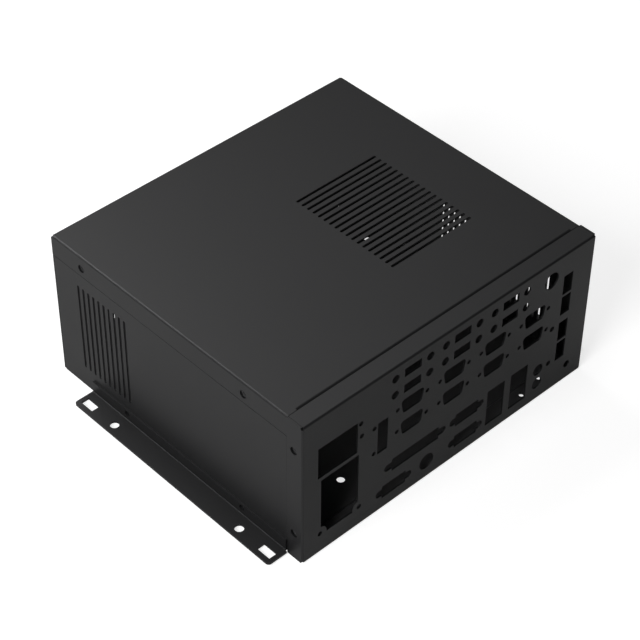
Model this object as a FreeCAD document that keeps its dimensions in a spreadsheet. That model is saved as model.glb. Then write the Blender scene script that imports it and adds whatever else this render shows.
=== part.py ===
import FreeCAD, Part
import os
import re
import Sketcher

# Small equipment enclosure of folded, powder-coated sheet steel: an open tray with three walls,
# a screwed-on top cover, a four-flanged connector panel, two mounting ears and a port bracket.
# Every length is in millimetres. The sheet positions below are measured in one case frame: across
# from the left edge of the connector panel, back from its outer face, and up from the underside.
# The placement of each sheet then moves that frame, so the part's origin is at its bottom centre.

SIZES = [
    # Whole case
    ("case_width", 249.6, "connector panel, edge to edge"),
    ("case_depth", 230.0, "panel face to far wall"),
    ("case_height", 114.6, "underside to top"),
    ("sheet_thick", 1.2, "steel sheet of tray, cover, panel and bracket"),
    ("bend_radius", 1.4, "outside radius of a fold"),
    ("corner_relief", 1.5, "square cut out where three folds meet"),
    ("corner_slit", 0.2, "slit between two flanges that meet at a corner"),
    ("seam_gap", 0.4, "open line between two neighbouring sheets"),
    ("lap_gap", 0.25, "play between a stepped lip and the flange over it"),
    ("lip_play", 1.0, "free space past the end of a lip"),
    ("lip_margin", 5.0, "distance from a lip's end to the next fold"),
    ("shoulder_radius", 1.6, "outside radius of a stepped lip's bends"),
    ("cover_step_run", 0.4, "length of the steep step under the cover's edge"),
    ("screw_hole", 5.6, "clearance hole of a case screw"),
    ("thread_hole", 3.6, "hole in the lip behind a case screw"),
    # Connector panel
    ("panel_proud", 0.5, "panel wider than tray and cover on each side"),
    ("panel_flange", 13.2, "depth of the panel's four flanges"),
    ("panel_screw_back", 7.4, "flange screws, from the face"),
    ("panel_screw_low", 21.6, "lower flange screws"),
    ("panel_screw_drop", 22.9, "upper flange screws, below the top"),
    ("panel_screw_side", 48.9, "bottom flange screws, from each edge"),
    # Power supply openings
    ("supply_left", 12.3, "upper opening"),
    ("supply_right", 44.0, "upper opening"),
    ("supply_low", 64.9, "upper opening"),
    ("supply_high", 89.7, "upper opening"),
    ("inlet_left", 14.9, "lower opening"),
    ("inlet_right", 45.4, "lower opening"),
    ("inlet_low", 15.1, "lower opening"),
    ("inlet_high", 62.2, "lower opening"),
    ("inlet_scallop", 5.5, "land left round the two lower screws"),
    ("supply_screw_left", 14.3, "lower left screw"),
    ("supply_screw_right", 46.5, "two right screws"),
    ("supply_screw_low", 16.4, "two lower screws"),
    ("supply_screw_high", 87.3, "upper right screw"),
    ("supply_screw_extra_x", 47.4, "spare screw"),
    ("supply_screw_extra_z", 76.6, "spare screw"),
    ("supply_screw_hole", 3.6, "supply screw hole"),
    # Tall narrow opening beside the power supply
    ("module_left", 60.6, "opening"),
    ("module_right", 69.0, "opening"),
    ("module_low", 51.6, "opening"),
    ("module_high", 77.6, "opening"),
    ("module_screw_x", 57.8, "two screws"),
    ("module_screw_low", 54.1, "lower screw"),
    ("module_screw_high", 75.3, "upper screw"),
    ("module_screw_hole", 3.4, "module screw hole"),
    # Grid of small rectangular ports, each between two round holes
    ("port_right", 161.1, "centre of the first column, from the right edge"),
    ("port_drop", 9.5, "centre of the upper row, below the top"),
    ("port_column_pitch", 42.1, "column to column"),
    ("port_row_pitch", 13.0, "row to row"),
    ("port_columns", 3, "number of columns"),
    ("port_rows", 2, "number of rows"),
    ("port_wide", 14.0, "port"),
    ("port_tall", 6.6, "port"),
    ("port_bolt_out", 14.4, "round hole from the port's centre"),
    ("port_bolt_hole", 6.0, "round hole"),
    # Grid of D-shaped serial ports
    ("serial_right", 160.3, "centre of the first column, from the right edge"),
    ("serial_drop", 36.9, "centre of the upper row, below the top"),
    ("serial_column_pitch", 35.87, "column to column"),
    ("serial_row_pitch", 18.0, "row to row"),
    ("serial_columns", 4, "number of columns"),
    ("serial_rows", 2, "number of rows"),
    ("serial_top_wide", 19.5, "long side of the D"),
    ("serial_bottom_wide", 15.9, "short side of the D"),
    ("serial_tall", 11.1, "height of the D"),
    ("serial_corner", 2.4, "corner radius of the D"),
    ("serial_screw_out", 12.5, "screw from the port's centre"),
    ("serial_screw_hole", 3.2, "serial screw hole"),
    # Low rows of eared openings: a body opening with a round-ended slot through it
    ("low_row_z", 14.4, "centre of the lowest row"),
    ("low_row_pitch", 18.7, "row to row"),
    ("parallel_right", 155.7, "centre of the long opening, from the right edge"),
    ("parallel_slot_wide", 53.0, "its slot, end to end"),
    ("parallel_body_wide", 40.2, "its body"),
    ("display_far_right", 173.5, "centre of the left short opening, from the right edge"),
    ("display_pair_right", 110.4, "centre of the two other short openings, from the right edge"),
    ("display_slot_wide", 30.7, "short slot, end to end"),
    ("display_body_wide", 20.2, "short body"),
    ("eared_body_tall", 10.2, "height of every body"),
    ("eared_slot_tall", 5.7, "height of every slot"),
    ("jack_right", 145.0, "round opening in the lowest row, from the right edge"),
    ("jack_hole", 12.2, "round opening in the lowest row"),
    # Two tall openings, two round ones and a hole at the right
    ("stack_right", 83.9, "centre of the first tall opening, from the right edge"),
    ("stack_pitch", 21.4, "centre to centre"),
    ("stack_count", 2, "number of tall openings"),
    ("stack_wide", 15.7, "tall opening"),
    ("stack_low", 8.9, "tall opening"),
    ("stack_high", 38.7, "tall opening"),
    ("aerial_right", 44.0, "two round openings, from the right edge"),
    ("aerial_low_z", 15.0, "lower round opening"),
    ("aerial_high_z", 26.8, "upper round opening"),
    ("aerial_hole", 8.8, "two round openings"),
    ("switch_right", 39.7, "large round opening, from the right edge"),
    ("switch_drop", 14.9, "large round opening, below the top"),
    ("switch_hole", 12.5, "large round opening"),
    ("ground_right", 15.1, "ground stud hole, from the right edge"),
    ("ground_z", 13.6, "ground stud hole"),
    ("ground_hole", 5.3, "ground stud hole"),
    # Column of four upright openings in two pairs
    ("column_right", 23.45, "centre of the column, from the right edge"),
    ("column_drop", 26.05, "centre of the highest opening, below the top"),
    ("column_pitch", 17.45, "between the two of a pair"),
    ("column_pair_pitch", 39.3, "between the pairs"),
    ("column_pairs", 2, "number of pairs"),
    ("column_wide", 8.5, "upright opening"),
    ("column_tall", 15.6, "upright opening"),
    # Bracket behind the panel
    ("bracket_right", 34.2, "two screws through the panel, from the right edge"),
    ("bracket_screw_low", 26.3, "lower screw"),
    ("bracket_screw_high", 56.0, "upper screw"),
    ("bracket_hole", 4.0, "hole in the panel"),
    ("bracket_thread_hole", 3.0, "hole in the bracket"),
    ("bracket_wide", 9.4, "flange against the panel"),
    ("bracket_end", 7.6, "bracket past each screw"),
    ("bracket_leg", 12.0, "leg that stands back from the panel"),
    # Top cover
    ("cover_flange", 15.6, "cover's side flanges"),
    ("cover_lip_margin", 8.4, "ends of the front lip, from the panel's edges"),
    ("cover_screw_front", 50.8, "front pair of side screws"),
    ("cover_screw_back", 29.3, "back pair of side screws, from the far wall"),
    ("cover_screw_drop", 9.4, "side screws, below the top"),
    # Vent slots
    ("top_vent_long", 70.0, "slot in the top, end to end"),
    ("vent_wide", 2.0, "slot"),
    ("vent_pitch", 5.0, "slot to slot"),
    ("top_vent_right", 45.3, "right end of the top slots, from the right edge"),
    ("top_vent_first", 65.1, "first top slot"),
    ("top_vents", 18, "number of top slots"),
    ("wall_vent_low", 18.2, "lower end of the wall slots"),
    ("wall_vent_drop", 10.1, "upper end of the wall slots, below the wall's edge"),
    ("left_vent_back", 24.3, "last slot of the left wall, from the far wall"),
    ("left_vents", 10, "number of slots in the left wall"),
    ("right_vent_first", 32.7, "first slot of the right wall"),
    ("right_vents", 20, "number of slots in the right wall"),
    ("far_vent_first", 33.4, "first slot of the far wall"),
    ("far_vents", 10, "number of slots in the far wall"),
    # Holes in the tray's floor
    ("board_right", 28.1, "right column of board holes, from the right edge"),
    ("board_wide", 157.5, "board hole columns, left to right"),
    ("board_front", 11.0, "front right board hole"),
    ("board_front_step", 22.9, "front left board hole, further back"),
    ("board_deep", 154.9, "front right to far right board hole"),
    ("board_hole", 5.5, "board hole"),
    ("board_clearance", 8.0, "notch in the panel's flange under a board hole"),
    ("foot_side", 11.2, "far corner holes, from each edge"),
    ("foot_back", 40.9, "far corner holes, from the far wall"),
    ("foot_hole", 5.0, "far corner hole"),
    # Mounting ears
    ("ear_thick", 1.5, "steel sheet of the ears"),
    ("ear_bend", 0.6, "inside radius of the ear's fold"),
    ("ear_lift", 1.6, "plate's underside above the case's"),
    ("ear_leg", 9.8, "leg against the wall"),
    ("ear_reach", 17.1, "plate's edge from the wall"),
    ("ear_front", 11.8, "near end"),
    ("ear_back", 31.7, "far end, from the far wall"),
    ("ear_corner", 2.5, "plate's corner radius"),
    ("ear_line", 10.6, "hole line from the wall"),
    ("ear_slot_inset", 8.5, "rectangular holes, from each end"),
    ("ear_slot_long", 11.0, "rectangular hole"),
    ("ear_slot_wide", 6.0, "rectangular hole"),
    ("ear_hole_inset", 33.4, "round holes, from each end"),
    ("ear_hole", 6.2, "round hole"),
    ("ear_screw_front", 53.1, "front screw of the leg"),
    ("ear_screw_back", 67.0, "back screw of the leg, from the far wall"),
    ("ear_screw_height", 7.9, "leg screws"),
    ("ear_screw_hole", 4.6, "leg screw hole"),
]

document = FreeCAD.newDocument("enclosure")
sheet = document.addObject("Spreadsheet::Sheet", "Sizes")
for row, (alias, number, meaning) in enumerate(SIZES, start=1):
    sheet.set("A%d" % row, alias)
    sheet.set("B%d" % row, str(number))
    sheet.set("C%d" % row, meaning)
    sheet.setAlias("B%d" % row, alias)
document.recompute()

ALIASES = {alias for alias, number, meaning in SIZES}

# Places that several sheets share, worked out from the sizes above
LAP_STEP = "(sheet_thick+lap_gap)"
SHELL_RIGHT = "(case_width-panel_proud)"
WALL_FRONT = "(panel_flange+seam_gap)"
COVER_EDGE = "(case_height-cover_flange)"
WALL_TOP = "(%s-seam_gap)" % COVER_EDGE
LIP_START = "(%s+sheet_thick)" % WALL_FRONT
LIP_FRONT = "(sheet_thick+lip_play)"
COVER_SCREW_HEIGHT = "(case_height-cover_screw_drop)"
COVER_SCREW_BACK = "(case_depth-cover_screw_back)"
PANEL_SCREW_HIGH = "(case_height-panel_screw_drop)"
BOARD_RIGHT = "(case_width-board_right)"
BOARD_LEFT = "(%s-board_wide)" % BOARD_RIGHT
BOARD_BACK = "(board_front+board_deep)"
INSIDE_BEND = "(bend_radius-sheet_thick)"
INSIDE_SHOULDER = "(shoulder_radius-sheet_thick)"
SHOULDER_REACH = "(shoulder_radius*(sqrt(2)-1))"
WALL_EDGE = "(%s+%s)" % (WALL_FRONT, SHOULDER_REACH)
EAR_END = "(case_depth-ear_back)"
EAR_LONG = "(%s-ear_front)" % EAR_END
EAR_SCREW_BACK = "(case_depth-ear_screw_back)"
TOP_VENT_SPAN = "(top_vent_long-vent_wide)"
WALL_VENT_SPAN = "(%s-wall_vent_drop-wall_vent_low-vent_wide)" % WALL_TOP
BRACKET_SCREW = "(case_width-bracket_right)"
BRACKET_LEFT = "(%s-bracket_wide/2)" % BRACKET_SCREW
BRACKET_LOW = "(bracket_screw_low-bracket_end)"
BRACKET_HIGH = "(bracket_screw_high+bracket_end)"

# How far a cut sketch reaches past the sheet's edge, so that no sliver is left
OVERCUT = "1"
OPPOSITE = {"+": "-", "-": "+"}
# The bends of a stepped lip, corner by corner: two outside ones and two inside ones
SHOULDERS = ["shoulder_radius", INSIDE_SHOULDER, None, None, "shoulder_radius", INSIDE_SHOULDER, None, None]


def bound(text):
    """Turns an expression of size names into one that reads the sheet."""
    return re.sub(r"[a-z_]+", lambda word: qualified(word.group()), text)


def qualified(word):
    """Gives a size name its sheet, and leaves a function such as sqrt alone."""
    return "Sizes." + word if word in ALIASES else word


def value(text):
    """Works out an expression of size names as a number."""
    return float(sheet.evalExpression(text))


def point(across, along):
    """A sketch point from two expressions."""
    return FreeCAD.Vector(value(across), value(along), 0)


def new_body(label):
    """A body whose own frame is the case frame, placed so that the origin is at the bottom centre."""
    body = document.addObject("PartDesign::Body", label)
    body.Label = label
    body.setExpression("Placement.Base.x", bound("-case_width/2"))
    body.setExpression("Placement.Base.y", bound("-case_depth/2"))
    return body


def new_sketch(body, name, plane, offset="0", across="0", along="0"):
    """A sketch on one of the body's own origin planes, moved along its normal and within it."""
    planes = {feature.Role: feature for feature in body.Origin.OriginFeatures}
    sketch = body.newObject("Sketcher::SketchObject", body.Label + "_" + name)
    sketch.AttachmentSupport = (planes[plane], [""])
    sketch.MapMode = "FlatFace"
    sketch.setExpression("AttachmentOffset.Base.x", bound(across))
    sketch.setExpression("AttachmentOffset.Base.y", bound(along))
    sketch.setExpression("AttachmentOffset.Base.z", bound(offset))
    return sketch


def pin(sketch, geometry, position, across, along):
    """Ties one point of the sketch to two expressions."""
    for kind, text in (("DistanceX", across), ("DistanceY", along)):
        number = sketch.addConstraint(Sketcher.Constraint(kind, -1, 1, geometry, position, value(text)))
        sketch.setExpression("Constraints[%d]" % number, bound(text))


def set_radius(sketch, geometry, text):
    """Ties an arc's radius to an expression."""
    number = sketch.addConstraint(Sketcher.Constraint("Radius", geometry, value(text)))
    sketch.setExpression("Constraints[%d]" % number, bound(text))


def arc_through(start, middle, end):
    """A circular arc through three points, always drawn anticlockwise as a sketch keeps it."""
    clockwise = (middle - start).cross(end - start).z < 0
    return Part.Arc(end, middle, start) if clockwise else Part.Arc(start, middle, end)


def end_at(sketch, geometry, spot):
    """Which end of a sketch line or arc lies at the spot: 1 for its start, 2 for its end."""
    curve = sketch.Geometry[geometry]
    from_start = (curve.StartPoint - spot).Length
    from_end = (curve.EndPoint - spot).Length
    return 1 if from_start < from_end else 2


def join(sketch, kind, before, after, spot):
    """Joins two pieces of an outline where they meet, as Coincident or Tangent."""
    leaving = end_at(sketch, before, spot)
    entering = end_at(sketch, after, spot)
    sketch.addConstraint(Sketcher.Constraint(kind, before, leaving, after, entering))


def outline(sketch, corners, radii=None):
    """A closed run of straight lines through the corners, each sharp or rounded by its own radius."""
    count = len(corners)
    radii = radii or [None] * count
    first = sketch.GeometryCount
    spots = [point(*corner) for corner in corners]
    reaches = [0.0] * count
    toward = []
    for number, spot in enumerate(spots):
        back = (spots[number - 1] - spot).normalize()
        onward = (spots[(number + 1) % count] - spot).normalize()
        toward.append((back, onward))
        if radii[number]:
            reaches[number] = value(radii[number]) * (1 + back.dot(onward)) / back.cross(onward).Length
    for number, spot in enumerate(spots):
        following = (number + 1) % count
        start = spot + toward[number][1] * reaches[number]
        end = spots[following] + toward[following][0] * reaches[following]
        sketch.addGeometry(Part.LineSegment(start, end), False)
    for number, spot in enumerate(spots):
        line = first + number
        before = first + (number - 1) % count
        if radii[number]:
            bend = (corners[number], spot, toward[number], reaches[number], radii[number])
            round_corner(sketch, *bend, before, line)
        else:
            join(sketch, "Coincident", before, line, spot)
            pin(sketch, line, 1, *corners[number])


def round_corner(sketch, corner, spot, toward, reach, radius, before, line):
    """A tangent arc between two lines, whose sharp corner stays as a construction point."""
    back, onward = toward
    size = value(radius)
    bisector = (back + onward).normalize()
    centre = spot + bisector * (reach * reach + size * size) ** 0.5
    nearest = centre - bisector * size
    start = spot + back * reach
    end = spot + onward * reach
    arc = sketch.addGeometry(arc_through(start, nearest, end), False)
    join(sketch, "Tangent", before, arc, start)
    join(sketch, "Tangent", arc, line, end)
    set_radius(sketch, arc, radius)
    marker = sketch.addGeometry(Part.Point(spot), True)
    pin(sketch, marker, 1, *corner)
    sketch.addConstraint(Sketcher.Constraint("PointOnObject", marker, 1, before))
    sketch.addConstraint(Sketcher.Constraint("PointOnObject", marker, 1, line))


def rectangle(sketch, left, low, right, high):
    """An upright rectangle between two opposite corners."""
    outline(sketch, [(left, low), (right, low), (right, high), (left, high)])


def centred_rectangle(sketch, across, along, wide, tall):
    """A rectangle about its centre."""
    left = "(%s-%s/2)" % (across, wide)
    right = "(%s+%s/2)" % (across, wide)
    low = "(%s-%s/2)" % (along, tall)
    high = "(%s+%s/2)" % (along, tall)
    rectangle(sketch, left, low, right, high)


def circle(sketch, across, along, diameter):
    """A round hole."""
    round_edge = Part.Circle(point(across, along), FreeCAD.Vector(0, 0, 1), value(diameter) / 2)
    number = sketch.addGeometry(round_edge, False)
    pin(sketch, number, 3, across, along)
    set_radius(sketch, number, diameter + "/2")


def slot(sketch, end, width):
    """A round-ended slot from the sketch's origin, along either sketch axis to the other end's centre."""
    first_centre = FreeCAD.Vector(0, 0, 0)
    last_centre = point(*end)
    size = value(width) / 2
    along = (last_centre - first_centre).normalize()
    side = FreeCAD.Vector(-along.y, along.x, 0) * size
    edges = [
        Part.LineSegment(first_centre - side, last_centre - side),
        Part.Arc(last_centre - side, last_centre + along * size, last_centre + side),
        Part.LineSegment(last_centre + side, first_centre + side),
        Part.Arc(first_centre + side, first_centre - along * size, first_centre - side),
    ]
    sketch.addGeometry(edges, False)
    for number in range(len(edges)):
        following = (number + 1) % len(edges)
        sketch.addConstraint(Sketcher.Constraint("Tangent", number, 2, following, 1))
    pin(sketch, 3, 3, "0", "0")
    pin(sketch, 1, 3, *end)
    set_radius(sketch, 1, width + "/2")
    sketch.addConstraint(Sketcher.Constraint("Equal", 1, 3))


def pad(sketch, length, reverse=False):
    """Adds the sketch's outline to its body as solid sheet."""
    body = sketch.getParentGeoFeatureGroup()
    feature = body.newObject("PartDesign::Pad", sketch.Label + "_pad")
    feature.Profile = sketch
    feature.setExpression("Length", bound(length))
    feature.Reversed = reverse
    document.recompute()
    return feature


def pocket(sketch, reverse=False, length=None):
    """Cuts the sketch's outline out of its body, right through unless a length is given."""
    body = sketch.getParentGeoFeatureGroup()
    before = body.Shape.Volume
    feature = body.newObject("PartDesign::Pocket", sketch.Label + "_cut")
    feature.Profile = sketch
    feature.Reversed = reverse
    if length is None:
        feature.Type = "ThroughAll"
    else:
        feature.setExpression("Length", bound(length))
    document.recompute()
    if not body.Shape.Volume < before:
        raise ValueError(feature.Label + " cuts nothing")
    return feature


def repeat(cut, sketch, axis, pitch, count):
    """Repeats a cut along one axis of its sketch."""
    body = sketch.getParentGeoFeatureGroup()
    pattern = body.newObject("PartDesign::LinearPattern", sketch.Label + "_pattern")
    pattern.Originals = [cut]
    pattern.Direction = (sketch, [axis])
    pattern.Mode = "Spacing"
    pattern.setExpression("Offset", bound(pitch))
    pattern.setExpression("Occurrences", bound(count))
    body.Tip = pattern
    document.recompute()
    return pattern


def round_edges(body, name, places, radius):
    """Rounds the edges of the body that pass through the places, each given as three expressions."""
    base = body.Tip
    touch = 1e-5
    names = []
    for place in places:
        spot = Part.Vertex(FreeCAD.Vector(*[value(text) for text in place]))
        for number, edge in enumerate(base.Shape.Edges, start=1):
            if edge.distToShape(spot)[0] < touch:
                names.append("Edge%d" % number)
    if len(names) != len(places):
        raise ValueError(name + " finds %d edges for %d places" % (len(names), len(places)))
    feature = body.newObject("PartDesign::Fillet", body.Label + "_" + name)
    feature.Base = (base, names)
    feature.setExpression("Radius", bound(radius))
    body.Tip = feature
    document.recompute()
    return feature


def stepped_lip(inward, onward, length, run=LAP_STEP):
    """Corners of a sheet that steps inward by one lap and runs on, from the start of its step.

    The sheet keeps its thickness through the step, so its inner corners sit back by a share of it.
    The last two corners reach back into the wall that carries the lip."""
    back = OPPOSITE[onward]
    slope = "sqrt(%s*%s+%s*%s)" % (LAP_STEP, LAP_STEP, run, run)
    setback = "(sheet_thick*(%s-%s)/%s)" % (slope, run, LAP_STEP)
    lip_face = "(0%s%s)" % (inward, LAP_STEP)
    lip_back = "(0%s(%s+sheet_thick))" % (inward, LAP_STEP)
    sheet_back = "(0%ssheet_thick)" % inward
    step_end = "(0%s%s)" % (onward, run)
    lip_end = "(0%s%s)" % (onward, length)
    return [
        ("0", "0"),
        (lip_face, step_end),
        (lip_face, lip_end),
        (lip_back, lip_end),
        (lip_back, "(%s%s%s)" % (step_end, back, setback)),
        (sheet_back, "(0%s%s)" % (back, setback)),
        (sheet_back, "(0%sbend_radius)" % back),
        ("0", "(0%sbend_radius)" % back),
    ]


def turned(corners):
    """The same corners with their two directions exchanged."""
    return [(along, across) for across, along in corners]


def make_panel():
    """Connector panel: a flat face with four folded flanges and the field of cut-outs."""
    body = new_body("io_panel")
    blank = new_sketch(body, "blank", "XZ_Plane")
    rectangle(blank, "0", "0", "case_width", "case_height")
    pad(blank, "panel_flange", reverse=True)
    middle = "case_width/2"
    half = "case_height/2"
    folds = [(middle, "0", "0"), (middle, "0", "case_height"), ("0", "0", half), ("case_width", "0", half)]
    round_edges(body, "outer_folds", folds, "bend_radius")

    hollow = new_sketch(body, "hollow", "XZ_Plane", "-sheet_thick")
    rectangle(hollow, "sheet_thick", "sheet_thick", "(case_width-sheet_thick)", "(case_height-sheet_thick)")
    pocket(hollow)
    inner_folds = [
        (middle, "sheet_thick", "sheet_thick"),
        (middle, "sheet_thick", "case_height-sheet_thick"),
        ("sheet_thick", "sheet_thick", half),
        ("case_width-sheet_thick", "sheet_thick", half),
    ]
    round_edges(body, "inner_folds", inner_folds, INSIDE_BEND)

    corners = new_sketch(body, "corners", "XZ_Plane", OVERCUT)
    outside = "(0-%s)" % OVERCUT
    right = "(case_width-corner_relief)"
    high = "(case_height-corner_relief)"
    past_right = "(case_width+%s)" % OVERCUT
    past_high = "(case_height+%s)" % OVERCUT
    rectangle(corners, outside, outside, "corner_relief", "corner_relief")
    rectangle(corners, right, outside, past_right, "corner_relief")
    rectangle(corners, outside, high, "corner_relief", past_high)
    rectangle(corners, right, high, past_right, past_high)
    pocket(corners, length="corner_relief+" + OVERCUT)
    slits = new_sketch(body, "corner_slits", "XZ_Plane", "-(corner_relief-%s/2)" % OVERCUT)
    left_slit = ("sheet_thick", "(sheet_thick+corner_slit)")
    right_slit = ("(case_width-sheet_thick-corner_slit)", "(case_width-sheet_thick)")
    for near, far in (left_slit, right_slit):
        rectangle(slits, near, outside, far, "corner_relief")
        rectangle(slits, near, high, far, past_high)
    pocket(slits)

    cut_flange_holes(body)
    cut_supply_openings(body)
    cut_port_grids(body)
    cut_low_rows(body)
    cut_right_side(body)
    return body


def cut_flange_holes(body):
    """Screw holes of the side and bottom flanges, and the notch under the front board hole."""
    sides = new_sketch(body, "side_screws", "YZ_Plane", "-" + OVERCUT)
    circle(sides, "panel_screw_back", "panel_screw_low", "screw_hole")
    circle(sides, "panel_screw_back", PANEL_SCREW_HIGH, "screw_hole")
    pocket(sides, reverse=True)

    bottom = new_sketch(body, "bottom_screws", "XY_Plane")
    circle(bottom, "panel_screw_side", "panel_screw_back", "screw_hole")
    circle(bottom, "(case_width-panel_screw_side)", "panel_screw_back", "screw_hole")
    pocket(bottom, reverse=True, length="2*sheet_thick")

    notch = new_sketch(body, "board_notch", "XY_Plane", "0", BOARD_RIGHT, "board_front")
    slot(notch, ("0", "(panel_flange-board_front+board_clearance)"), "board_clearance")
    pocket(notch, reverse=True, length="2*sheet_thick")


def cut_supply_openings(body):
    """Power supply openings, with a land kept round each lower screw, and the module opening."""
    upper = new_sketch(body, "supply", "XZ_Plane")
    rectangle(upper, "supply_left", "supply_low", "supply_right", "supply_high")
    pocket(upper)

    lower = new_sketch(body, "inlet", "XZ_Plane")
    inlet_outline(lower)
    pocket(lower)

    screws = new_sketch(body, "supply_screws", "XZ_Plane")
    circle(screws, "supply_screw_left", "supply_screw_low", "supply_screw_hole")
    circle(screws, "supply_screw_right", "supply_screw_low", "supply_screw_hole")
    circle(screws, "supply_screw_right", "supply_screw_high", "supply_screw_hole")
    circle(screws, "supply_screw_extra_x", "supply_screw_extra_z", "supply_screw_hole")
    pocket(screws)

    module = new_sketch(body, "module", "XZ_Plane")
    rectangle(module, "module_left", "module_low", "module_right", "module_high")
    circle(module, "module_screw_x", "module_screw_low", "module_screw_hole")
    circle(module, "module_screw_x", "module_screw_high", "module_screw_hole")
    pocket(module)


def inlet_outline(sketch):
    """The lower supply opening: a rectangle whose two lower corners give way to the screw lands."""
    radius = "inlet_scallop"
    rise = "(inlet_low-supply_screw_low)"
    reach = "sqrt(%s*%s-%s*%s)" % (radius, radius, rise, rise)
    left_gap = "(inlet_left-supply_screw_left)"
    right_gap = "(inlet_right-supply_screw_right)"
    left_climb = "sqrt(%s*%s-%s*%s)" % (radius, radius, left_gap, left_gap)
    right_climb = "sqrt(%s*%s-%s*%s)" % (radius, radius, right_gap, right_gap)
    corners = [
        ("supply_screw_left+" + reach, "inlet_low"),
        ("supply_screw_right-" + reach, "inlet_low"),
        ("inlet_right", "supply_screw_low+" + right_climb),
        ("inlet_right", "inlet_high"),
        ("inlet_left", "inlet_high"),
        ("inlet_left", "supply_screw_low+" + left_climb),
    ]
    spots = [point(*corner) for corner in corners]
    diagonal = FreeCAD.Vector(1, 1, 0).normalize() * value(radius)
    left_screw = point("supply_screw_left", "supply_screw_low")
    right_screw = point("supply_screw_right", "supply_screw_low")
    left_middle = left_screw + diagonal
    right_middle = right_screw + FreeCAD.Vector(-diagonal.x, diagonal.y, 0)
    edges = [
        Part.LineSegment(spots[0], spots[1]),
        arc_through(spots[1], right_middle, spots[2]),
        Part.LineSegment(spots[2], spots[3]),
        Part.LineSegment(spots[3], spots[4]),
        Part.LineSegment(spots[4], spots[5]),
        arc_through(spots[5], left_middle, spots[0]),
    ]
    sketch.addGeometry(edges, False)
    for number, spot in enumerate(spots):
        join(sketch, "Coincident", (number - 1) % len(edges), number, spot)
    for line in (0, 2, 3, 4):
        pin(sketch, line, 1, *corners[line])
    pin(sketch, 0, 2, *corners[1])
    pin(sketch, 4, 2, *corners[5])
    set_radius(sketch, 1, radius)
    set_radius(sketch, 5, radius)


def cut_port_grids(body):
    """The rows of small ports and the rows of D-shaped serial ports, each row from one port."""
    for row in range(round(value("port_rows"))):
        height = "case_height-port_drop-%d*port_row_pitch" % row
        port = new_sketch(body, "port_row_%d" % row, "XZ_Plane", "0", "case_width-port_right", height)
        centred_rectangle(port, "0", "0", "port_wide", "port_tall")
        circle(port, "(0-port_bolt_out)", "0", "port_bolt_hole")
        circle(port, "port_bolt_out", "0", "port_bolt_hole")
        repeat(pocket(port), port, "H_Axis", "port_column_pitch", "port_columns")

    low = "(0-serial_tall/2)"
    high = "(serial_tall/2)"
    shape = [
        ("(0-serial_bottom_wide/2)", low),
        ("(serial_bottom_wide/2)", low),
        ("(serial_top_wide/2)", high),
        ("(0-serial_top_wide/2)", high),
    ]
    for row in range(round(value("serial_rows"))):
        height = "case_height-serial_drop-%d*serial_row_pitch" % row
        first = "case_width-serial_right"
        serial = new_sketch(body, "serial_row_%d" % row, "XZ_Plane", "0", first, height)
        outline(serial, shape, ["serial_corner"] * len(shape))
        circle(serial, "(0-serial_screw_out)", "0", "serial_screw_hole")
        circle(serial, "serial_screw_out", "0", "serial_screw_hole")
        repeat(pocket(serial), serial, "H_Axis", "serial_column_pitch", "serial_columns")


def cut_eared_opening(body, name, from_right, along, slot_wide, body_wide):
    """A connector opening: its body, and the round-ended slot that makes its two ears."""
    across = "(case_width-%s)" % from_right
    opening = new_sketch(body, name, "XZ_Plane")
    centred_rectangle(opening, across, along, body_wide, "eared_body_tall")
    pocket(opening)
    reach = "(%s-eared_slot_tall)" % slot_wide
    ears = new_sketch(body, name + "_ears", "XZ_Plane", "0", "%s-%s/2" % (across, reach), along)
    slot(ears, (reach, "0"), "eared_slot_tall")
    pocket(ears)


def cut_low_rows(body):
    """The two low rows: one long and three short eared openings, and a round one."""
    upper_row = "(low_row_z+low_row_pitch)"
    long = ("parallel_slot_wide", "parallel_body_wide")
    cut_eared_opening(body, "parallel", "parallel_right", upper_row, *long)
    short = ("display_slot_wide", "display_body_wide")
    cut_eared_opening(body, "display_left", "display_far_right", "low_row_z", *short)
    cut_eared_opening(body, "display_high", "display_pair_right", upper_row, *short)
    cut_eared_opening(body, "display_low", "display_pair_right", "low_row_z", *short)
    jack = new_sketch(body, "jack", "XZ_Plane")
    circle(jack, "(case_width-jack_right)", "low_row_z", "jack_hole")
    pocket(jack)


def cut_right_side(body):
    """Tall openings, the upright column in pairs, and the round openings on the right."""
    stack = new_sketch(body, "stack", "XZ_Plane")
    left = "(case_width-stack_right-stack_wide/2)"
    right = "(case_width-stack_right+stack_wide/2)"
    rectangle(stack, left, "stack_low", right, "stack_high")
    repeat(pocket(stack), stack, "H_Axis", "stack_pitch", "stack_count")

    column = new_sketch(body, "column", "XZ_Plane")
    across = "(case_width-column_right)"
    pairs_span = "column_pair_pitch*(column_pairs-1)"
    second = "(case_height-column_drop-%s)" % pairs_span
    lowest = "(%s-column_pitch)" % second
    centred_rectangle(column, across, lowest, "column_wide", "column_tall")
    centred_rectangle(column, across, second, "column_wide", "column_tall")
    repeat(pocket(column), column, "V_Axis", "column_pair_pitch", "column_pairs")

    rounds = new_sketch(body, "rounds", "XZ_Plane")
    circle(rounds, "(case_width-aerial_right)", "aerial_low_z", "aerial_hole")
    circle(rounds, "(case_width-aerial_right)", "aerial_high_z", "aerial_hole")
    circle(rounds, "(case_width-switch_right)", "(case_height-switch_drop)", "switch_hole")
    circle(rounds, "(case_width-ground_right)", "ground_z", "ground_hole")
    circle(rounds, BRACKET_SCREW, "bracket_screw_low", "bracket_hole")
    circle(rounds, BRACKET_SCREW, "bracket_screw_high", "bracket_hole")
    pocket(rounds)


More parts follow.
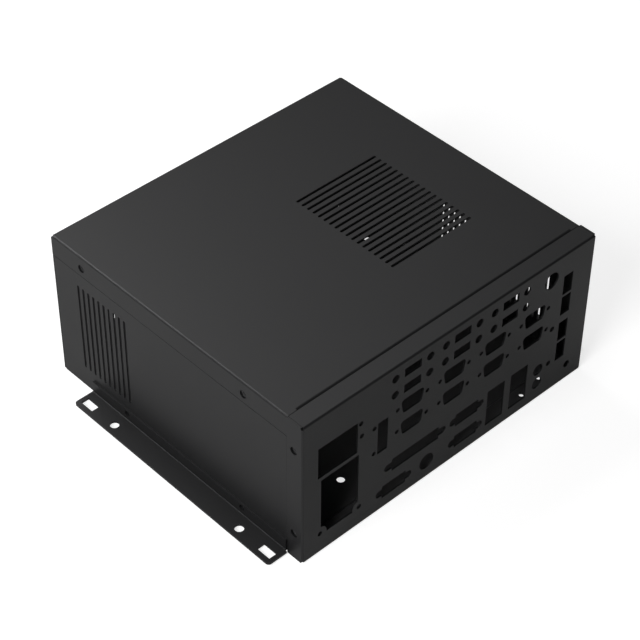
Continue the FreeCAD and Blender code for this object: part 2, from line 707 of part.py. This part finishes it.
def make_cover():
    """Top cover: a plate with three side flanges and a front lip stepped down under the panel."""
    body = new_body("top_cover")
    blank = new_sketch(body, "blank", "XY_Plane", COVER_EDGE)
    rectangle(blank, "panel_proud", WALL_FRONT, SHELL_RIGHT, "case_depth")
    pad(blank, "cover_flange")
    middle = "case_width/2"
    half = "(%s+case_depth)/2" % WALL_FRONT
    folds = [
        ("panel_proud", half, "case_height"),
        (SHELL_RIGHT, half, "case_height"),
        (middle, "case_depth", "case_height"),
    ]
    round_edges(body, "outer_folds", folds, "bend_radius")

    hollow = new_sketch(body, "hollow", "XY_Plane", "case_height-sheet_thick")
    left_inside = "(panel_proud+sheet_thick)"
    right_inside = "(%s-sheet_thick)" % SHELL_RIGHT
    back_inside = "(case_depth-sheet_thick)"
    rectangle(hollow, left_inside, "(%s-%s)" % (WALL_FRONT, OVERCUT), right_inside, back_inside)
    pocket(hollow)
    inner_folds = [
        (left_inside, half, "case_height-sheet_thick"),
        (right_inside, half, "case_height-sheet_thick"),
        (middle, back_inside, "case_height-sheet_thick"),
    ]
    round_edges(body, "inner_folds", inner_folds, INSIDE_BEND)

    corners = new_sketch(body, "corners", "XY_Plane", "case_height+" + OVERCUT)
    past_left = "(panel_proud-%s)" % OVERCUT
    past_right = "(%s+%s)" % (SHELL_RIGHT, OVERCUT)
    relief_back = "(case_depth-corner_relief)"
    past_back = "(case_depth+%s)" % OVERCUT
    rectangle(corners, past_left, relief_back, "(panel_proud+corner_relief)", past_back)
    rectangle(corners, "(%s-corner_relief)" % SHELL_RIGHT, relief_back, past_right, past_back)
    pocket(corners, length="corner_relief+" + OVERCUT)
    slits = new_sketch(body, "corner_slits", "XY_Plane", "case_height-corner_relief+%s/2" % OVERCUT)
    rectangle(slits, left_inside, relief_back, "(%s+corner_slit)" % left_inside, past_back)
    rectangle(slits, "(%s-corner_slit)" % right_inside, relief_back, right_inside, past_back)
    pocket(slits)

    slot_back = "(%s+%s)" % (LIP_START, SHOULDER_REACH)
    room = new_sketch(body, "lip_room", "XY_Plane", "case_height+" + OVERCUT)
    lip_right = "(case_width-cover_lip_margin)"
    rectangle(room, "cover_lip_margin", "(%s-%s)" % (WALL_FRONT, OVERCUT), lip_right, slot_back)
    pocket(room, length="bend_radius+" + OVERCUT)
    lip = new_sketch(body, "front_lip", "YZ_Plane", "cover_lip_margin", LIP_START, "case_height")
    reach = "(%s-%s)" % (LIP_START, LIP_FRONT)
    outline(lip, turned(stepped_lip("-", "-", reach)), SHOULDERS)
    pad(lip, "case_width-2*cover_lip_margin")

    cut_top_vents(body)
    screws = new_sketch(body, "side_screws", "YZ_Plane")
    circle(screws, "cover_screw_front", COVER_SCREW_HEIGHT, "screw_hole")
    circle(screws, COVER_SCREW_BACK, COVER_SCREW_HEIGHT, "screw_hole")
    pocket(screws, reverse=True)
    return body


def cut_top_vents(body):
    """The field of slots in the cover's plate."""
    left = "case_width-top_vent_right-vent_wide/2-" + TOP_VENT_SPAN
    vent = new_sketch(body, "vents", "XY_Plane", "case_height+" + OVERCUT, left, "top_vent_first")
    slot(vent, (TOP_VENT_SPAN, "0"), "vent_wide")
    cut = pocket(vent, length="bend_radius+" + OVERCUT)
    repeat(cut, vent, "V_Axis", "vent_pitch", "top_vents")


def make_tray():
    """Tray: floor and three walls folded from one sheet, with stepped lips for cover and panel."""
    body = new_body("base_tray")
    blank = new_sketch(body, "blank", "XY_Plane")
    rectangle(blank, "panel_proud", WALL_EDGE, SHELL_RIGHT, "case_depth")
    pad(blank, WALL_TOP)
    middle = "case_width/2"
    half = "(%s+case_depth)/2" % WALL_EDGE
    folds = [("panel_proud", half, "0"), (SHELL_RIGHT, half, "0"), (middle, "case_depth", "0")]
    round_edges(body, "outer_folds", folds, "bend_radius")

    hollow = new_sketch(body, "hollow", "XY_Plane", "sheet_thick")
    left_inside = "(panel_proud+sheet_thick)"
    right_inside = "(%s-sheet_thick)" % SHELL_RIGHT
    back_inside = "(case_depth-sheet_thick)"
    rectangle(hollow, left_inside, "(%s-%s)" % (WALL_EDGE, OVERCUT), right_inside, back_inside)
    pocket(hollow, reverse=True)
    inner_folds = [
        (left_inside, half, "sheet_thick"),
        (right_inside, half, "sheet_thick"),
        (middle, back_inside, "sheet_thick"),
    ]
    round_edges(body, "inner_folds", inner_folds, INSIDE_BEND)
    cut_tray_corners(body)
    add_cover_lips(body)
    add_panel_lips(body)
    cut_tray_screws(body)
    cut_wall_vents(body)
    cut_floor_holes(body)
    return body


def cut_tray_corners(body):
    """Where the far wall meets the side walls: an open butt seam, and a square relief at the floor."""
    past_left = "(panel_proud-%s)" % OVERCUT
    past_right = "(%s+%s)" % (SHELL_RIGHT, OVERCUT)
    seam_front = "(case_depth-sheet_thick-corner_slit)"
    seam_back = "(case_depth-sheet_thick)"
    seams = new_sketch(body, "corner_seams", "XY_Plane")
    rectangle(seams, past_left, seam_front, "(panel_proud+sheet_thick)", seam_back)
    rectangle(seams, "(%s-sheet_thick)" % SHELL_RIGHT, seam_front, past_right, seam_back)
    pocket(seams, reverse=True)
    reliefs = new_sketch(body, "corner_reliefs", "XY_Plane")
    relief_front = "(case_depth-corner_relief)"
    past_back = "(case_depth+%s)" % OVERCUT
    rectangle(reliefs, past_left, relief_front, "(panel_proud+corner_relief)", past_back)
    rectangle(reliefs, "(%s-corner_relief)" % SHELL_RIGHT, relief_front, past_right, past_back)
    pocket(reliefs, reverse=True, length="corner_relief")


def add_cover_lips(body):
    """Lips that step in behind the cover's three flanges."""
    height = "(case_height-sheet_thick-lip_play-%s)" % WALL_TOP
    lip_start = "(%s+lip_margin)" % WALL_FRONT
    lip_stop = "(case_depth-lip_margin)"
    for name, wall, inward in (("left_lip", "panel_proud", "+"), ("right_lip", SHELL_RIGHT, "-")):
        side = new_sketch(body, name, "XZ_Plane", "-" + lip_start, wall, WALL_TOP)
        outline(side, stepped_lip(inward, "+", height, "cover_step_run"))
        pad(side, "%s-%s" % (lip_stop, lip_start), reverse=True)
    far = new_sketch(body, "far_lip", "YZ_Plane", "panel_proud+lip_margin", "case_depth", WALL_TOP)
    outline(far, stepped_lip("-", "+", height, "cover_step_run"))
    pad(far, "case_width-2*(panel_proud+lip_margin)")


def add_panel_lips(body):
    """Lips that step in behind the panel's side flanges and over its bottom flange."""
    side_reach = "(%s-%s)" % (WALL_FRONT, LIP_FRONT)
    side_low = "lip_margin"
    walls = (("left_panel_lip", "panel_proud", "+"), ("right_panel_lip", SHELL_RIGHT, "-"))
    for name, wall, inward in walls:
        side = new_sketch(body, name, "XY_Plane", side_low, wall, WALL_FRONT)
        outline(side, stepped_lip(inward, "-", side_reach), SHOULDERS)
        pad(side, "%s-%s" % (WALL_TOP, side_low))
    left = "(panel_proud+lip_margin)"
    right = "(%s-lip_margin)" % SHELL_RIGHT
    room = new_sketch(body, "lip_room", "XY_Plane")
    rectangle(room, left, WALL_FRONT, right, "(%s+%s)" % (LIP_START, SHOULDER_REACH))
    pocket(room, reverse=True, length="2*sheet_thick")
    floor = new_sketch(body, "floor_lip", "YZ_Plane", left, LIP_START)
    floor_reach = "(%s-%s)" % (LIP_START, LIP_FRONT)
    outline(floor, turned(stepped_lip("+", "-", floor_reach)), SHOULDERS)
    pad(floor, "%s-%s" % (right, left))


def cut_tray_screws(body):
    """Holes in the lips behind the cover and panel screws, and in the walls behind the ears."""
    lips = new_sketch(body, "lip_screws", "YZ_Plane")
    circle(lips, "cover_screw_front", COVER_SCREW_HEIGHT, "thread_hole")
    circle(lips, COVER_SCREW_BACK, COVER_SCREW_HEIGHT, "thread_hole")
    circle(lips, "panel_screw_back", "panel_screw_low", "thread_hole")
    circle(lips, "panel_screw_back", PANEL_SCREW_HIGH, "thread_hole")
    circle(lips, "ear_screw_front", "ear_screw_height", "ear_screw_hole")
    circle(lips, EAR_SCREW_BACK, "ear_screw_height", "ear_screw_hole")
    pocket(lips, reverse=True)


def cut_wall_vents(body):
    """The slots of the left, right and far walls, each field from one slot."""
    low = "wall_vent_low+vent_wide/2"
    depth = "2*bend_radius"
    left_first = "case_depth-left_vent_back-(left_vents-1)*vent_pitch"
    left = new_sketch(body, "left_vents", "YZ_Plane", "panel_proud-" + OVERCUT, left_first, low)
    slot(left, ("0", WALL_VENT_SPAN), "vent_wide")
    cut = pocket(left, reverse=True, length=depth)
    repeat(cut, left, "H_Axis", "vent_pitch", "left_vents")
    right_plane = "%s+%s" % (SHELL_RIGHT, OVERCUT)
    right = new_sketch(body, "right_vents", "YZ_Plane", right_plane, "right_vent_first", low)
    slot(right, ("0", WALL_VENT_SPAN), "vent_wide")
    cut = pocket(right, length=depth)
    repeat(cut, right, "H_Axis", "vent_pitch", "right_vents")
    far_plane = "-(case_depth+%s)" % OVERCUT
    far = new_sketch(body, "far_vents", "XZ_Plane", far_plane, "far_vent_first", low)
    slot(far, ("0", WALL_VENT_SPAN), "vent_wide")
    cut = pocket(far, reverse=True, length=depth)
    repeat(cut, far, "H_Axis", "vent_pitch", "far_vents")


def cut_floor_holes(body):
    """Board holes, far corner holes and the holes over the panel's bottom screws."""
    holes = new_sketch(body, "floor_holes", "XY_Plane")
    circle(holes, BOARD_RIGHT, "board_front", "board_hole")
    circle(holes, BOARD_LEFT, "(board_front+board_front_step)", "board_hole")
    circle(holes, BOARD_LEFT, BOARD_BACK, "board_hole")
    circle(holes, BOARD_RIGHT, BOARD_BACK, "board_hole")
    circle(holes, "foot_side", "(case_depth-foot_back)", "foot_hole")
    circle(holes, "(case_width-foot_side)", "(case_depth-foot_back)", "foot_hole")
    circle(holes, "panel_screw_side", "panel_screw_back", "thread_hole")
    circle(holes, "(case_width-panel_screw_side)", "panel_screw_back", "thread_hole")
    pocket(holes, reverse=True, length="sheet_thick+lap_gap+bend_radius")


def make_ear(label, wall, outward):
    """Mounting ear: a leg against the wall and a drilled plate that reaches outward at the floor."""
    body = new_body(label)
    edge = "(%s%sear_reach)" % (wall, outward)
    leg_face = "(%s%sear_thick)" % (wall, outward)
    plate_top = "(ear_lift+ear_thick)"
    plate_middle = "(ear_lift+ear_thick/2)"
    profile = new_sketch(body, "profile", "XZ_Plane", "-ear_front")
    corners = [
        (wall, "ear_lift"),
        (edge, "ear_lift"),
        (edge, plate_top),
        (leg_face, plate_top),
        (leg_face, "(ear_lift+ear_leg)"),
        (wall, "(ear_lift+ear_leg)"),
    ]
    outline(profile, corners)
    pad(profile, EAR_LONG, reverse=True)
    half = "(ear_front+%s/2)" % EAR_LONG
    round_edges(body, "outer_fold", [(wall, half, "ear_lift")], "(ear_bend+ear_thick)")
    round_edges(body, "inner_fold", [(leg_face, half, plate_top)], "ear_bend")
    plate_corners = [(edge, "ear_front", plate_middle), (edge, EAR_END, plate_middle)]
    round_edges(body, "plate_corners", plate_corners, "ear_corner")

    notch = new_sketch(body, "notch", "XY_Plane")
    past_wall = "(%s%s%s)" % (wall, OPPOSITE[outward], OVERCUT)
    fold_end = "(%s%s(ear_bend+ear_thick))" % (wall, outward)
    rectangle(notch, past_wall, "(ear_front-%s)" % OVERCUT, fold_end, WALL_FRONT)
    pocket(notch, reverse=True)

    line = "(%s%sear_line)" % (wall, outward)
    holes = new_sketch(body, "plate_holes", "XY_Plane")
    slot_size = ("ear_slot_wide", "ear_slot_long")
    centred_rectangle(holes, line, "(ear_front+ear_slot_inset)", *slot_size)
    centred_rectangle(holes, line, "(%s-ear_slot_inset)" % EAR_END, *slot_size)
    circle(holes, line, "(ear_front+ear_hole_inset)", "ear_hole")
    circle(holes, line, "(%s-ear_hole_inset)" % EAR_END, "ear_hole")
    pocket(holes, reverse=True, length="ear_lift+2*ear_thick")

    screws = new_sketch(body, "leg_screws", "YZ_Plane", wall)
    circle(screws, "ear_screw_front", "ear_screw_height", "ear_screw_hole")
    circle(screws, EAR_SCREW_BACK, "ear_screw_height", "ear_screw_hole")
    pocket(screws, reverse=(outward == "+"))
    return body


def make_bracket():
    """Port bracket: a small angle screwed to the inside of the panel."""
    body = new_body("port_bracket")
    profile = new_sketch(body, "profile", "XY_Plane", BRACKET_LOW)
    right = "(%s+bracket_wide)" % BRACKET_LEFT
    leg_side = "(%s-sheet_thick)" % right
    back = "(sheet_thick+bracket_leg)"
    corners = [
        (BRACKET_LEFT, "sheet_thick"),
        (right, "sheet_thick"),
        (right, back),
        (leg_side, back),
        (leg_side, "2*sheet_thick"),
        (BRACKET_LEFT, "2*sheet_thick"),
    ]
    outline(profile, corners)
    pad(profile, "%s-%s" % (BRACKET_HIGH, BRACKET_LOW))
    half = "(%s+%s)/2" % (BRACKET_LOW, BRACKET_HIGH)
    round_edges(body, "outer_fold", [(right, "sheet_thick", half)], "bend_radius")
    round_edges(body, "inner_fold", [(leg_side, "2*sheet_thick", half)], INSIDE_BEND)
    screws = new_sketch(body, "screws", "XZ_Plane")
    circle(screws, BRACKET_SCREW, "bracket_screw_low", "bracket_thread_hole")
    circle(screws, BRACKET_SCREW, "bracket_screw_high", "bracket_thread_hole")
    pocket(screws)
    return body


SUBPARTS = [
    make_tray(),
    make_cover(),
    make_panel(),
    make_ear("mounting_ear_left", "panel_proud", "-"),
    make_ear("mounting_ear_right", SHELL_RIGHT, "+"),
    make_bracket(),
]
document.recompute()

for item in document.Objects:
    if "Invalid" in item.State or "Error" in item.State:
        raise ValueError(item.Label + " failed: " + ", ".join(item.State))
for subpart in SUBPARTS:
    if subpart.Shape.isNull() or not subpart.Shape.isValid() or len(subpart.Shape.Solids) != 1:
        raise ValueError(subpart.Label + " is not one valid solid")

os.makedirs("parts", exist_ok=True)
for subpart in SUBPARTS:
    subpart.Shape.exportStep("parts/%s.step" % subpart.Label)
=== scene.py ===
from math import cos, radians, sin

import bpy
from mathutils import Matrix, Vector

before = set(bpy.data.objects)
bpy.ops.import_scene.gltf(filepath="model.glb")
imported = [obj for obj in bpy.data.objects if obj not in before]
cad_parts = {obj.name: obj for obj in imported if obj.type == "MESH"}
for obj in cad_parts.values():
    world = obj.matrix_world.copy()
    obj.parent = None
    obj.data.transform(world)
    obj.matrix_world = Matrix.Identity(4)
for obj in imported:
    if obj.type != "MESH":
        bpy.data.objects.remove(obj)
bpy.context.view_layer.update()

bl_info = {
    "name": "Folded Steel Enclosure Finish",
    "version": (1, 0, 0),
    "blender": (4, 5, 0),
    "location": "3D View > Sidebar > Enclosure",
    "description": "Finishes the folded sheets of a black steel enclosure and sets up its studio",
    "category": "Object",
}

MM = 0.001

# The sheets of the enclosure, as the CAD names them
TRAY_SHEETS = ["base_tray"]
CASE_SHEETS = ["top_cover", "io_panel"]
EAR_SHEETS = ["mounting_ear_left", "mounting_ear_right"]
BRACKET_SHEETS = ["port_bracket"]
SHEET = 1.2 * MM
CASE_WIDTH = 249.6 * MM
CASE_DEPTH = 230.0 * MM
# The connector panel is this much wider than the tray on each side
PANEL_PROUD = 0.5 * MM
# Width, depth and height between the middles of the tray's sheets, with room to spare above
TRAY_INSIDE = (CASE_WIDTH - 2 * PANEL_PROUD - SHEET, CASE_DEPTH - SHEET, 240 * MM)

# Where the lights stand round the object, and the point that they face
AIM = Vector((0.0, 0.0, 50 * MM))
LIGHTS = [
    # name, azimuth, elevation, distance and width, and the setting of its power
    ("Key light", 195, 38, 1.2, 0.6, "key_power"),
    ("Left light", 90, 50, 2.0, 0.9, "left_power"),
    ("Back light", 45, 50, 2.0, 0.9, "back_power"),
    ("Low light", 110, 15, 0.85, 0.5, "low_power"),
]
# The solved camera's own right, up and back directions
CAMERA_RIGHT = Vector((0.72857, -0.68494, 0.00671))
CAMERA_UP = Vector((0.45816, 0.49459, 0.73856))
CAMERA_BACK = Vector((-0.50919, -0.53502, 0.67415))
SENSOR_WIDTH = 36.0


def linear(colour):
    """Turns an sRGB hex value such as #202021 into linear red, green, blue and alpha."""
    channels = [int(colour[start:start + 2], 16) / 255 for start in (1, 3, 5)]
    steps = [c / 12.92 if c <= 0.04045 else ((c + 0.055) / 1.055) ** 2.4 for c in channels]
    return (*steps, 1.0)


def add_node(tree, kind, settings=None, values=None, links=None):
    """Adds one node with its settings, its socket values and its incoming links."""
    node = tree.nodes.new(kind)
    for name, setting in (settings or {}).items():
        setattr(node, name, setting)
    for name, number in (values or {}).items():
        node.inputs[name].default_value = number
    for name, source in (links or {}).items():
        tree.links.new(source, node.inputs[name])
    return node


class CoatSettings(bpy.types.PropertyGroup):
    """The powder coat on every sheet, and the light painted inside the tray."""

    case_colour: bpy.props.StringProperty(
        name="Case colour", description="sRGB hex colour of the coat on tray, cover and panel",
        default="#1b1b1c")
    ear_colour: bpy.props.StringProperty(
        name="Ear colour", description="sRGB hex colour of the coat on the ears and the bracket",
        default="#1a1a1b")
    # Painted light: the tray's inside is coloured lighter to stand in for light falling in through the
    # openings
    painted_light_inside_colour: bpy.props.StringProperty(
        name="Painted light inside", description="sRGB hex colour painted inside the tray as the light that falls in",
        default="#424243")
    roughness: bpy.props.FloatProperty(
        name="Roughness", description="Satin sheen of the cured coat", default=0.42,
        min=0.0, max=1.0, subtype="FACTOR")
    ripple_width: bpy.props.FloatProperty(
        name="Ripple width", description="Width of one swell of the coat's orange peel", default=1.6 * MM,
        unit="LENGTH")
    ripple_height: bpy.props.FloatProperty(
        name="Ripple height", description="Height of one swell of the coat's orange peel",
        default=0.012 * MM, unit="LENGTH")
    cloud_width: bpy.props.FloatProperty(
        name="Cloud width", description="Width of one cloud of uneven sheen", default=30 * MM, unit="LENGTH")
    sheen_change: bpy.props.FloatProperty(
        name="Sheen change", description="How far the roughness strays from its setting", default=0.03)


class StudioSettings(bpy.types.PropertyGroup):
    """Camera, floor and lights."""

    focal_length: bpy.props.FloatProperty(
        name="Focal length", description="Camera lens in millimetres", default=112.75)
    camera_place: bpy.props.FloatVectorProperty(
        name="Camera place", description="Where the camera stands", default=(-0.6593, -0.6900, 0.9142),
        unit="LENGTH", size=3)
    floor_width: bpy.props.FloatProperty(
        name="Floor width", description="Side of the square floor", default=12.0, unit="LENGTH")
    floor_colour: bpy.props.StringProperty(
        name="Floor colour", description="sRGB hex colour of the floor as the object sees it",
        default="#bcbcbc")
    floor_glow: bpy.props.FloatProperty(
        name="Floor glow", description="White that the floor adds to its lit share before the camera",
        default=0.74)
    gloss_glow: bpy.props.FloatProperty(
        name="Gloss glow", description="White that the floor adds in reflections", default=0.05)
    key_power: bpy.props.FloatProperty(
        name="Key power", description="Power of the near light on the left side", default=10.5,
        unit="POWER")
    left_power: bpy.props.FloatProperty(
        name="Left power", description="Power of the light high behind the left side", default=14.6,
        unit="POWER")
    back_power: bpy.props.FloatProperty(
        name="Back power", description="Power of the light high behind the far side",
        default=1.9, unit="POWER")
    low_power: bpy.props.FloatProperty(
        name="Low power", description="Power of the low light near the left side's far end", default=3.1,
        unit="POWER")


def painted_light_share(tree, place):
    """Where light is painted on the tray: 1 inside the folded tray, 0 on its outside: the change runs
    through the middle of the sheet.
    """
    middle = (0.0, 0.0, TRAY_INSIDE[2] / 2 + SHEET / 2)
    offset = add_node(
        tree, "ShaderNodeVectorMath", settings={"operation": "SUBTRACT"}, links={0: place},
        values={1: middle}).outputs["Vector"]
    distance = add_node(
        tree, "ShaderNodeVectorMath", settings={"operation": "ABSOLUTE"},
        links={0: offset}).outputs["Vector"]
    axes = add_node(tree, "ShaderNodeSeparateXYZ", links={"Vector": distance}).outputs
    share = None
    for axis, size in zip(axes, TRAY_INSIDE):
        within = add_node(
            tree, "ShaderNodeMath", settings={"operation": "LESS_THAN"}, links={0: axis},
            values={1: size / 2}).outputs["Value"]
        share = within if share is None else add_node(
            tree, "ShaderNodeMath", settings={"operation": "MULTIPLY"},
            links={0: share, 1: within}).outputs["Value"]
    return share


def powder_coat(name, colour, settings, inside=None):
    """Polyester powder coat, sprayed dry and baked: near-black satin, whose faint orange peel
    breaks up the reflection of a light into a soft grain. The inside of a sheet can take a second
    colour. On the tray that colour is painted light, chosen lighter to stand in for the light that
    falls in through the openings, and the real tray has no such coat."""
    material = bpy.data.materials.new(name)
    material.use_nodes = True
    tree = material.node_tree
    tree.nodes.clear()
    place = add_node(tree, "ShaderNodeTexCoord").outputs["Object"]

    # Orange peel: swells as wide as the setting says, with finer grit of the powder over them
    swell = add_node(
        tree, "ShaderNodeTexNoise", values={"Scale": 1 / settings.ripple_width, "Detail": 2.0},
        links={"Vector": place}).outputs["Fac"]
    peel = add_node(
        tree, "ShaderNodeBump", values={"Strength": 1.0, "Distance": settings.ripple_height},
        links={"Height": swell}).outputs["Normal"]

    # The sheen of the cured coat is a little uneven, in clouds that the setting gives the width of
    cloud = add_node(
        tree, "ShaderNodeTexNoise", values={"Scale": 1 / settings.cloud_width, "Detail": 3.0},
        links={"Vector": place}).outputs["Fac"]
    rough = add_node(
        tree, "ShaderNodeMapRange",
        values={"To Min": settings.roughness - settings.sheen_change,
                "To Max": settings.roughness + settings.sheen_change},
        links={"Value": cloud}).outputs["Result"]

    # Polyester resin
    shader = add_node(
        tree, "ShaderNodeBsdfPrincipled",
        values={"Base Color": linear(colour), "Metallic": 0.0, "IOR": 1.5},
        links={"Roughness": rough, "Normal": peel}).outputs["BSDF"]
    if inside:
        # Painted light: the lighter colour inside the tray stands in for light falling in through the
        # openings
        painted_light_tint = add_node(
            tree, "ShaderNodeMix", settings={"data_type": "RGBA"},
            links={"Factor": painted_light_share(tree, place)}).outputs[2]
        blend = painted_light_tint.node
        blend.inputs[6].default_value = linear(colour)
        blend.inputs[7].default_value = linear(inside)
        tree.links.new(painted_light_tint, shader.node.inputs["Base Color"])
    add_node(tree, "ShaderNodeOutputMaterial", links={"Surface": shader})
    return material


def coat_sheets(names, material_name, colour, inside=None):
    """Coats some sheets of the CAD, and stops with an error if one of them can't take a coat."""
    material = powder_coat(material_name, colour, bpy.context.scene.enclosure_coat, inside)
    for name in names:
        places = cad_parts[name].material_slots
        if not places:
            raise RuntimeError("The sheet %s has no place for a coat" % name)
        for place in places:
            place.material = material


class ENCLOSURE_OT_coat_case(bpy.types.Operator):
    """Coat the cover and the connector panel"""

    bl_idname = "enclosure.coat_case"
    bl_label = "Coat the Cover and the Panel"

    def execute(self, context):
        coat_sheets(CASE_SHEETS, "Powder coat on the case", context.scene.enclosure_coat.case_colour)
        return {"FINISHED"}


class ENCLOSURE_OT_coat_tray(bpy.types.Operator):
    """Coat the folded tray, and paint light on its inside"""

    bl_idname = "enclosure.coat_tray"
    bl_label = "Coat the Tray"

    def execute(self, context):
        coat = context.scene.enclosure_coat
        # The tray's inside takes painted light: a lighter colour standing in for light falling in through
        # the openings
        coat_sheets(TRAY_SHEETS, "Powder coat on the tray", coat.case_colour, coat.painted_light_inside_colour)
        return {"FINISHED"}


class ENCLOSURE_OT_coat_ears(bpy.types.Operator):
    """Coat the two mounting ears"""

    bl_idname = "enclosure.coat_ears"
    bl_label = "Coat the Mounting Ears"

    def execute(self, context):
        coat_sheets(EAR_SHEETS, "Powder coat on the ears", context.scene.enclosure_coat.ear_colour)
        return {"FINISHED"}


class ENCLOSURE_OT_coat_bracket(bpy.types.Operator):
    """Coat the port bracket behind the connector panel"""

    bl_idname = "enclosure.coat_bracket"
    bl_label = "Coat the Port Bracket"

    def execute(self, context):
        coat_sheets(BRACKET_SHEETS, "Powder coat on the bracket", context.scene.enclosure_coat.ear_colour)
        return {"FINISHED"}


def white_seen(tree, straight, gloss):
    """Strength of the white that the camera, glass and gloss see, and diffuse light does not."""
    path = add_node(tree, "ShaderNodeLightPath").outputs
    seen = add_node(
        tree, "ShaderNodeMath", settings={"operation": "MAXIMUM"},
        links={0: path["Is Camera Ray"], 1: path["Is Transmission Ray"]}).outputs["Value"]
    direct = add_node(
        tree, "ShaderNodeMath", settings={"operation": "MULTIPLY"}, links={0: seen},
        values={1: straight}).outputs["Value"]
    return add_node(
        tree, "ShaderNodeMath", settings={"operation": "MULTIPLY_ADD"},
        links={0: path["Is Glossy Ray"], 2: direct}, values={1: gloss}).outputs["Value"]


def studio_white(name, settings):
    """Matt paper: the object is lit by its mid grey, and the camera sees it lifted to white, with
    the object's shadow kept by the lit share."""
    material = bpy.data.materials.new(name)
    material.use_nodes = True
    tree = material.node_tree
    tree.nodes.clear()
    paper = add_node(
        tree, "ShaderNodeBsdfDiffuse",
        values={"Color": linear(settings.floor_colour), "Roughness": 0.5}).outputs["BSDF"]

    strength = white_seen(tree, settings.floor_glow, settings.gloss_glow)
    glow = add_node(tree, "ShaderNodeEmission", links={"Strength": strength}).outputs["Emission"]
    both = add_node(tree, "ShaderNodeAddShader", links={0: paper, 1: glow}).outputs["Shader"]
    add_node(tree, "ShaderNodeOutputMaterial", links={"Surface": both})
    return material


def studio_light(name, azimuth, elevation, distance, width, power):
    """One square soft light that points at the middle of the object."""
    level, height = cos(radians(elevation)), sin(radians(elevation))
    place = AIM + distance * Vector((cos(radians(azimuth)) * level, sin(radians(azimuth)) * level, height))
    data = bpy.data.lights.new(name, "AREA")
    data.energy = power
    data.size = width
    lamp = bpy.data.objects.new(name, data)
    lamp.location = place
    lamp.rotation_mode = "QUATERNION"
    lamp.rotation_quaternion = (AIM - place).to_track_quat("-Z", "Y")
    bpy.context.scene.collection.objects.link(lamp)
    return lamp


class ENCLOSURE_OT_set_stage(bpy.types.Operator):
    """Set up the floor, the lights and the camera"""

    bl_idname = "enclosure.set_stage"
    bl_label = "Set the Stage"

    def execute(self, context):
        settings = context.scene.enclosure_studio
        bpy.ops.object.select_all(action="DESELECT")
        bpy.ops.mesh.primitive_plane_add(size=settings.floor_width, location=(0, 0, 0))
        floor = context.active_object
        floor.name = "studio_floor"
        floor.data.materials.append(studio_white("Matt white paper", settings))

        for name, azimuth, elevation, distance, width, power in LIGHTS:
            studio_light(name, azimuth, elevation, distance, width, getattr(settings, power))

        # White beyond the floor, which gives no light of its own
        world = bpy.data.worlds.new("Studio")
        world.use_nodes = True
        sky = world.node_tree.nodes["Background"].inputs
        sky["Color"].default_value = (1.0, 1.0, 1.0, 1.0)
        world.node_tree.links.new(white_seen(world.node_tree, 1.0, settings.gloss_glow), sky["Strength"])
        context.scene.world = world

        data = bpy.data.cameras.new("Camera")
        data.lens = settings.focal_length
        data.sensor_width = SENSOR_WIDTH
        camera = bpy.data.objects.new("Camera", data)
        turn = Matrix((CAMERA_RIGHT, CAMERA_UP, CAMERA_BACK)).transposed().to_quaternion()
        camera.matrix_world = Matrix.LocRotScale(Vector(settings.camera_place), turn, None)
        context.scene.collection.objects.link(camera)
        context.scene.camera = camera
        context.scene.view_settings.view_transform = "Standard"
        return {"FINISHED"}


class ENCLOSURE_PT_panel(bpy.types.Panel):
    """The enclosure's operators in the sidebar."""

    bl_label = "Enclosure"
    bl_idname = "ENCLOSURE_PT_panel"
    bl_space_type = "VIEW_3D"
    bl_region_type = "UI"
    bl_category = "Enclosure"

    def draw(self, context):
        for operator in STEPS:
            self.layout.operator(operator.bl_idname)


STEPS = [
    ENCLOSURE_OT_coat_case, ENCLOSURE_OT_coat_tray, ENCLOSURE_OT_coat_ears, ENCLOSURE_OT_coat_bracket,
    ENCLOSURE_OT_set_stage]
CLASSES = [CoatSettings, StudioSettings, *STEPS, ENCLOSURE_PT_panel]


def register():
    for kind in CLASSES:
        bpy.utils.register_class(kind)
    bpy.types.Scene.enclosure_coat = bpy.props.PointerProperty(type=CoatSettings)
    bpy.types.Scene.enclosure_studio = bpy.props.PointerProperty(type=StudioSettings)


def unregister():
    del bpy.types.Scene.enclosure_studio
    del bpy.types.Scene.enclosure_coat
    for kind in reversed(CLASSES):
        bpy.utils.unregister_class(kind)


def main():
    register()
    bpy.ops.enclosure.coat_case()
    bpy.ops.enclosure.coat_tray()
    bpy.ops.enclosure.coat_ears()
    bpy.ops.enclosure.coat_bracket()
    bpy.ops.enclosure.set_stage()


if __name__ == "__main__":
    main()
